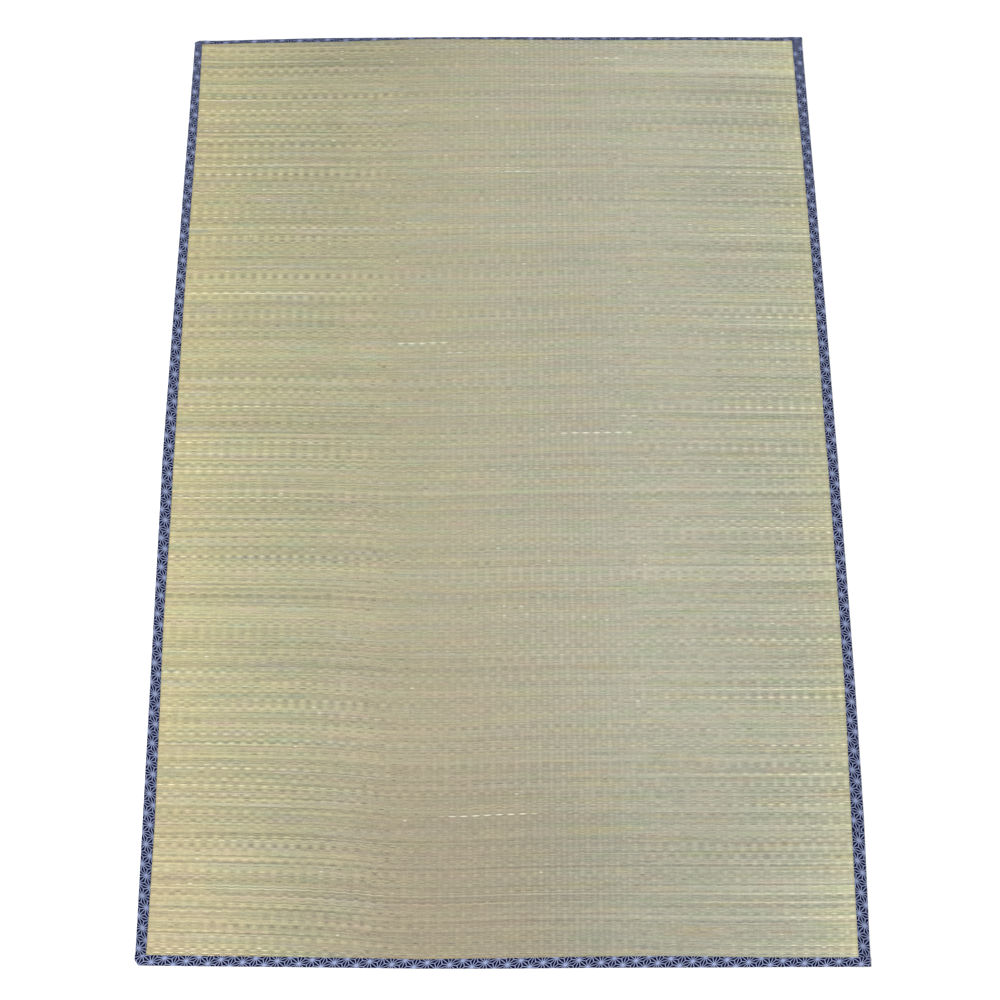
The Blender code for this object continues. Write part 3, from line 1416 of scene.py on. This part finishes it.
@dataclass
class RushSheet:
    """The woven sheet, with a rib for each eye and the settle over the tapes beneath."""

    layout: MatLayout
    finish: RushFinish
    name: str = "rush_weave"
    rows_up: int = 330
    bundle_relief: float = 0.16 * MM
    bundle_scale: tuple[float, float] = (2.5, 70.0)
    bundle_seed: float = 1.0
    lie_relief: float = 0.7 * MM
    lie_scale: float = 2.2
    lie_seed: float = 4.0
    lie_lift: float = 0.4
    held_inset: float = 35.0 * MM
    free_run: float = 60.0 * MM

    def underside(self, x: float, y: float) -> float:
        """Height of the sheet's underside above the floor."""
        lay = self.layout
        return lay.side_step(x) + lay.end_step(y) + lay.ridge(y)

    def top(self, half_eyes: int, x: float, y: float) -> float:
        """Height of the sheet's upper face, ribbed and a little uneven.

        Args:
            half_eyes: Half eyes from the left edge.
            x: Place across the straight mat.
            y: Place along the straight mat.

        Returns:
            The height above the floor.
        """
        lay = self.layout
        thick = lay.rush_groove if half_eyes % 2 == 0 else lay.rush_crown
        inset = min(lay.half_width - abs(x), lay.half_length - abs(y))
        free = eased((inset - self.held_inset) / self.free_run)
        scale_x, scale_y = self.bundle_scale
        bundles = waver(x * scale_x, y * scale_y, self.bundle_seed) * self.bundle_relief
        lie = waver(x * self.lie_scale, y * self.lie_scale, self.lie_seed) + self.lie_lift
        return self.underside(x, y) + thick + free * (bundles + max(lie * self.lie_relief, 0.0))

    def build(self) -> bpy.types.Object:
        """Model the sheet: a fine upper face, a plain underside and closed rims.

        Returns:
            The sheet.
        """
        lay = self.layout
        cloth = LaidCloth(lay)
        step = 2 * lay.sheet_half_length / self.rows_up
        ys = [-lay.sheet_half_length + number * step for number in range(self.rows_up + 1)]
        xs = [lay.eye_x(half / 2) for half in range(2 * lay.eyes_across + 1)]

        def laid(x: float, y: float, z: float) -> LaidPoint:
            """Lay a point of the straight sheet, and note its place on the flat cloth."""
            flat = (x + lay.sheet_half_width, y + lay.sheet_half_length, 0.0)
            return lay.place(x, y, z), flat

        def upper(i: int, j: int) -> LaidPoint:
            """Place a point of the upper face."""
            return laid(xs[i], ys[j], self.top(i, xs[i], ys[j]))

        top = cloth.grid(len(xs), len(ys), upper)
        plain_i = self.plain_columns()
        plain_j = self.plain_rows(ys)

        def lower(i: int, j: int) -> LaidPoint:
            """Place a point of the underside."""
            x, y = xs[plain_i[i]], ys[plain_j[j]]
            return laid(x, y, self.underside(x, y))

        below = cloth.grid(len(plain_i), len(plain_j), lower)
        last_i, last_j = len(plain_i) - 1, len(plain_j) - 1
        for i, top_i in ((0, 0), (last_i, len(xs) - 1)):
            for j in range(last_j):
                chain = [top[top_i, k] for k in range(plain_j[j], plain_j[j + 1] + 1)]
                cloth.bm.faces.new([below[i, j], *chain, below[i, j + 1]])
        for j, top_j in ((0, 0), (last_j, self.rows_up)):
            for i in range(last_i):
                chain = [top[k, top_j] for k in range(plain_i[i], plain_i[i + 1] + 1)]
                cloth.bm.faces.new([below[i, j], *chain, below[i + 1, j]])
        cloth.trim_corners((Edge.FOOT, Edge.HEAD), inside=2 * lay.layer_step)
        obj = cloth.finish(self.name, self.finish.material(lay))
        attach(obj, BODY)
        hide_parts("rush_panel")
        return obj

    def plain_columns(self) -> list[int]:
        """Choose the half-eye columns that the underside's form needs.

        Returns:
            Their numbers, rising.
        """
        lay = self.layout
        level = max(lay.level_under(Edge.LEFT), lay.level_under(Edge.RIGHT))
        settles = [level + share * lay.settle_run for share in SETTLE_SHARES]
        near = {round(2 * inset / lay.eye_pitch) for inset in settles}
        last = 2 * lay.eyes_across
        stops = {round(2 * row.eyes) for row in END_ROWS} | near | {last - step for step in near}
        return sorted(stops)

    def plain_rows(self, ys: Sequence[float]) -> list[int]:
        """Choose the rows of the upper face that the underside's form needs.

        Args:
            ys: Each row's place along the straight mat.

        Returns:
            Their numbers, rising.
        """
        lay = self.layout
        wanted = [row.y for row in SIDE_ROWS]
        wanted += [lay.ridge_y + share * lay.ridge_half for share in RIDGE_SHARES]
        for edge in (Edge.FOOT, Edge.HEAD):
            for share in SETTLE_SHARES:
                inset = lay.level_under(edge) + share * lay.settle_run
                wanted.append(edge.sign * (lay.half_length - inset))
        span = ys[-1] - ys[0]
        last = len(ys) - 1
        return sorted({min(max(round((y - ys[0]) / span * last), 0), last) for y in wanted})


@dataclass
class FoldedTape:
    """One tape folded over an edge of the sheet and sewn through it."""

    layout: MatLayout
    edge: Edge
    finish: TapeFinish
    station_step: float = 5.0 * MM
    fold_round: float = 2.1 * MM
    edge_round: float = 0.42 * MM
    seam_inset: float = 2.6 * MM
    seam_half: float = 1.2 * MM
    seam_dip: float = 0.3 * MM
    loose_run: float = 5.0 * MM
    pucker: float = 0.28 * MM
    pucker_scale: tuple[float, float] = (55.0, 60.0)
    pucker_seed: float = 7.0
    pucker_seed_step: float = 3.0
    pucker_sink: float = 0.25
    tuck: float = 0.1 * MM
    tuck_near: float = 0.3 * MM
    tuck_far: float = 1.0 * MM

    @property
    def name(self) -> str:
        """The piece's name."""
        return f"{self.edge.value}_tape"

    @property
    def reach(self) -> float:
        """How far the tape runs from the middle of its edge."""
        lay = self.layout
        return lay.sheet_half_length if self.edge.is_side else lay.half_width + lay.end_overhang

    def stations(self) -> list[float]:
        """Places along the straight edge at which the tape's section is set."""
        count = round(2 * self.reach / self.station_step)
        return [-self.reach + 2 * self.reach * number / count for number in range(count + 1)]

    def heights(self, along: float) -> tuple[float, float]:
        """Work out the folded tape's lowest and highest level.

        Args:
            along: Place along the edge.

        Returns:
            Both heights above the floor.
        """
        lay = self.layout
        if self.edge.is_side:
            base = lay.end_step(along) + lay.ridge(along)
            return base, base + lay.fold_height
        return 0.0, lay.fold_height + lay.side_step(along) + lay.climb(along)

    def top_level(self, along: float, inset: float, upper: float, top: float) -> float:
        """Height of the tape's upper face, dipped at the seam and softly puckered.

        Args:
            along: Place along the edge.
            inset: Distance in from the fold.
            upper: Width of the flap on top.
            top: The flap's level height.

        Returns:
            The height above the floor.
        """
        seam = (inset - (upper - self.seam_inset)) / self.seam_half
        dip = self.seam_dip * math.exp(-seam * seam)
        loose = eased(inset / self.loose_run) * eased((upper - inset) / self.loose_run)
        scale_x, scale_y = self.pucker_scale
        seed = self.pucker_seed + self.pucker_seed_step * self.edge.sign
        wave = waver(along * scale_x, inset * scale_y, seed)
        return top - dip + loose * self.pucker * (wave - self.pucker_sink)

    def section(self, along: float) -> list[tuple[float, float, float]]:
        """The folded tape's outline at a place along it.

        Args:
            along: Place along the straight edge.

        Returns:
            Points as inset from the edge, height, and distance inward on the cloth, which
            runs on below 0 round the fold and under the mat.
        """
        lay = self.layout
        upper = lay.flap(self.edge, along)
        lower = lay.under_flap(upper)
        base, top = self.heights(along)
        cloth = lay.tape_cloth
        bend = self.fold_round
        soft = self.edge_round
        side_top = bend * (1 - math.pi / 2)
        side_foot = side_top - (top - base - 2 * bend)
        under = side_foot - bend * math.pi / 2 + bend
        points = [(lower, base + soft, under - lower), (lower - soft, base, under - lower + soft)]
        for share in (0.5, 0.0):
            inset = bend + (lower - bend) * share
            points.append((inset, base, under - inset))
        arc = [math.radians(angle) for angle in FOLD_ANGLES]
        for angle in arc:
            inset = bend - bend * math.sin(angle)
            inward = side_foot - bend * (math.pi / 2 - angle)
            points.append((inset, base + bend - bend * math.cos(angle), inward))
        for angle in reversed(arc):
            inset = bend - bend * math.sin(angle)
            points.append((inset, top - bend + bend * math.cos(angle), bend - bend * angle))
        seam = upper - self.seam_inset
        crossings = [bend + (seam - bend) * share for share in FLAP_SHARES]
        for inset in (*crossings, seam, seam + self.seam_half, upper - soft):
            points.append((inset, self.top_level(along, inset, upper, top), inset))
        return points + [
            (upper, top - soft, upper),
            (upper, top - cloth + soft, upper),
            (upper - soft, top - cloth, upper),
            (cloth + soft, top - cloth, cloth),
            (cloth, top - cloth - soft, side_top),
            (cloth, base + cloth + soft, side_foot),
            (cloth + soft, base + cloth, under - cloth),
            (lower - soft, base + cloth, under - lower),
            (lower, base + cloth - soft, under - lower),
        ]

    def place(self, along: float, inset: float, z: float) -> Vector:
        """Find where a point of the section lies.

        Args:
            along: Place along the edge.
            inset: Distance in from the edge.
            z: Height above the floor.

        Returns:
            The point in the shared frame.
        """
        lay = self.layout
        if self.edge.is_side:
            return lay.place(self.edge.sign * (lay.half_width - inset), along, z)
        return lay.place(along, self.edge.sign * (lay.half_length - inset), z)

    def travel(self, along: float) -> float:
        """Distance along the tape, counted anticlockwise round the mat seen from above."""
        turned = self.edge in (Edge.LEFT, Edge.HEAD)
        return -along if turned else along

    def close_cut(self, cloth: LaidCloth) -> None:
        """Close the trimmed corner with the tape's end, folded in along the cut.

        Args:
            cloth: The trimmed tape.
        """
        lay = self.layout
        _, top = self.heights(-lay.half_width)
        low = lay.tape_cloth - self.tuck
        high = top - low
        side_top = self.fold_round * (1 - math.pi / 2)
        for cut in lay.corner_cuts:
            if cut.end is not self.edge:
                continue
            start, stop, outward = lay.cut_line(cut)
            run = (stop - start).normalized()
            near = start - run * self.tuck_near
            far = stop - run * self.tuck_far
            middle = (near + far - outward * lay.tape_cloth) / 2
            middle.z = (low + high) / 2
            size = Vector(((far - near).length, lay.tape_cloth, high - low))
            turn = Matrix((run, outward, Vector((0.0, 0.0, 1.0)))).transposed().to_4x4()
            place = Matrix.Translation(middle) @ turn @ Matrix.Diagonal((*size, 1.0))
            end = -lay.half_width + cut.across
            slip_along, slip_in = self.finish.slip(self.travel(end))
            for vert in bmesh.ops.create_cube(cloth.bm, size=1.0, matrix=place)["verts"]:
                travel = self.travel(end - (stop - vert.co).dot(run))
                inward = side_top - (top - self.fold_round - vert.co.z)
                vert[cloth.flat] = travel - slip_along, inward - slip_in, -lay.tape_width

    def build(self) -> bpy.types.Object:
        """Model the folded tape.

        Returns:
            The tape.
        """
        lay = self.layout
        cloth = LaidCloth(lay)
        stations = self.stations()
        sections = [self.section(along) for along in stations]
        count = len(sections[0])

        def point(i: int, j: int) -> LaidPoint:
            """Place a point of the section, and find it on the flat, printed cloth.

            Args:
                i: The station's number.
                j: The point's number in the section.

            Returns:
                The point's place, and its place on the cloth.
            """
            along = stations[i]
            inset, z, inward = sections[i][j % count]
            seam = lay.flap(self.edge, along) - self.seam_inset
            travel = self.travel(along)
            slip_along, slip_in = self.finish.slip(travel)
            spot = (travel - slip_along, inward - slip_in, inset - seam)
            return self.place(along, inset, z), spot

        cloth.grid(len(stations), count + 1, point)
        bmesh.ops.remove_doubles(cloth.bm, verts=cloth.bm.verts, dist=lay.touch)
        cloth.close_holes()
        if self.edge is Edge.LEFT:
            cloth.trim_corners((Edge.FOOT, Edge.HEAD), inside=lay.layer_step)
        if not self.edge.is_side:
            cloth.trim_corners((self.edge,), inside=0.0)
            self.close_cut(cloth)
        obj = cloth.finish(self.name, self.finish.material())
        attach(obj, BODY)
        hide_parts(f"{self.edge.value}_binding")
        return obj


@dataclass
class Studio:
    """The pale floor, the soft lights and the camera."""

    floor_size: float = 14.0
    floor_drop: float = 0.2 * MM
    floor_tone: float = 0.9
    floor_roughness: float = 0.9
    lamp_size: float = 4.5
    lamp_watts: float = 640.0
    lamp_place: tuple[float, float, float] = (-4.2, -2.7, 9.2)
    camera_place: tuple[float, float, float] = (0.00743, -1.98718, 4.65269)
    camera_tilt: float = 21.8887
    camera_turn: float = 0.2526
    camera_roll: float = -0.4465
    lens: float = 69.59
    sensor: float = 36.0

    def floor(self) -> None:
        """Lay the plain pale floor."""
        bm = bmesh.new()
        bmesh.ops.create_grid(bm, x_segments=1, y_segments=1, size=self.floor_size / 2)
        bmesh.ops.translate(bm, verts=bm.verts, vec=(0.0, 0.0, -self.floor_drop))
        tone = (self.floor_tone, self.floor_tone, self.floor_tone, 1.0)
        finish = Shader("pale_floor").feed(Base_Color=tone, Roughness=self.floor_roughness)
        add_mesh("pale_floor", bm, finish)

    def lights(self) -> None:
        """Set an even pale surround and one broad lamp beyond the near left corner."""
        world = bpy.data.worlds.new("soft_studio")
        world.use_nodes = True
        background = world.node_tree.nodes["Background"]
        background.inputs["Color"].default_value = (1.0, 1.0, 1.0, 1.0)
        background.inputs["Strength"].default_value = 1.0
        bpy.context.scene.world = world
        lamp = bpy.data.lights.new("broad_lamp", "AREA")
        lamp.shape = "SQUARE"
        lamp.size = self.lamp_size
        lamp.energy = self.lamp_watts
        obj = add_object("broad_lamp", lamp)
        obj.location = self.lamp_place
        obj.rotation_euler = (-obj.location).to_track_quat("-Z", "Y").to_euler()

    def camera(self) -> None:
        """Set the camera where it looks down on the mat from beyond its foot."""
        data = bpy.data.cameras.new("view")
        data.lens = self.lens
        data.sensor_width = self.sensor
        obj = add_object("view", data)
        turn = Matrix.Rotation(math.radians(self.camera_turn), 4, "Z")
        tilt = Matrix.Rotation(math.radians(self.camera_tilt), 4, "X")
        roll = Matrix.Rotation(math.radians(self.camera_roll), 4, "Z")
        obj.matrix_world = Matrix.Translation(self.camera_place) @ turn @ tilt @ roll
        bpy.context.scene.camera = obj

    def build(self) -> None:
        """Set up the whole studio."""
        bpy.context.scene.view_settings.view_transform = "Standard"
        self.floor()
        self.lights()
        self.camera()


SIDE_STARS = ((29.5 * MM, 11.4 * MM), (18.6 * MM, -17.6 * MM))
END_STARS = ((31.6 * MM, 10.1 * MM), (20.2 * MM, -16.2 * MM))
LEFT_SLIPS = (
    PrintSlip(-1.23, -31, -3),
    PrintSlip(-1.08, -29, 2),
    PrintSlip(-0.83, -35, 9),
    PrintSlip(-0.68, -38, 13),
    PrintSlip(-0.50, -38, 17),
    PrintSlip(-0.398, -38, 17),
    PrintSlip(-0.392, -27, 15),
    PrintSlip(-0.15, -21, 12),
    PrintSlip(0.10, -14, 6),
    PrintSlip(0.30, -9, 1),
    PrintSlip(0.45, -8, -1),
    PrintSlip(0.65, 0, 0),
    PrintSlip(0.90, 2, 2),
    PrintSlip(1.20, -1, -1),
)
RIGHT_SLIPS = (
    PrintSlip(-1.08, -17, 9),
    PrintSlip(-0.988, -17, 9),
    PrintSlip(-0.982, 4, 9),
    PrintSlip(-0.83, 2, 5),
    PrintSlip(-0.50, 0, 0),
    PrintSlip(-0.28, 0, -1),
    PrintSlip(-0.08, 3, -4),
    PrintSlip(0.17, 2, -3),
    PrintSlip(0.55, 4, -1),
    PrintSlip(0.82, 0, 3),
    PrintSlip(1.00, -4, 9),
    PrintSlip(1.22, -8, 18),
)
FOOT_SLIPS = (
    PrintSlip(-0.75, -2, -4),
    PrintSlip(-0.50, -6, -4),
    PrintSlip(-0.25, -5, -5),
    PrintSlip(0.00, -2, -1),
    PrintSlip(0.25, 1, 1),
    PrintSlip(0.45, -1, 1),
    PrintSlip(0.80, -9, -1),
)
HEAD_SLIPS = (
    PrintSlip(-0.75, 6, 0),
    PrintSlip(-0.45, -8, 0),
    PrintSlip(-0.10, -20, 1),
    PrintSlip(0.10, -28, 1),
    PrintSlip(0.322, -32, 2),
    PrintSlip(0.328, -30, 14),
    PrintSlip(0.50, -32, 15),
    PrintSlip(0.75, -43, 15),
)
TAPE_FINISHES = {
    Edge.LEFT: TapeFinish("left_print", (1140.4 * MM, 9.8 * MM), *SIDE_STARS, LEFT_SLIPS),
    Edge.RIGHT: TapeFinish("right_print", (-534.5 * MM, 7.5 * MM), *SIDE_STARS, RIGHT_SLIPS),
    Edge.FOOT: TapeFinish(
        "foot_print",
        (96.9 * MM, 13.3 * MM),
        *END_STARS,
        FOOT_SLIPS,
        line=0.030,
        ray=0.054,
        ink=((143, 154, 190), (151, 161, 196)),
    ),
    Edge.HEAD: TapeFinish("head_print", (96.9 * MM, 13.3 * MM), *END_STARS, HEAD_SLIPS),
}


def main() -> None:
    """Build the studio and the mat's pieces, and report each one."""
    logging.basicConfig(level=logging.INFO, format="%(message)s")
    layout = MatLayout()
    Studio().build()
    pieces = [RushSheet(layout, RushFinish()).build()]
    for edge in Edge:
        pieces.append(FoldedTape(layout, edge, TAPE_FINISHES[edge]).build())
    for piece in pieces:
        LOG.info("%s: %d faces", piece.name, len(piece.data.polygons))


if __name__ == "__main__":
    main()
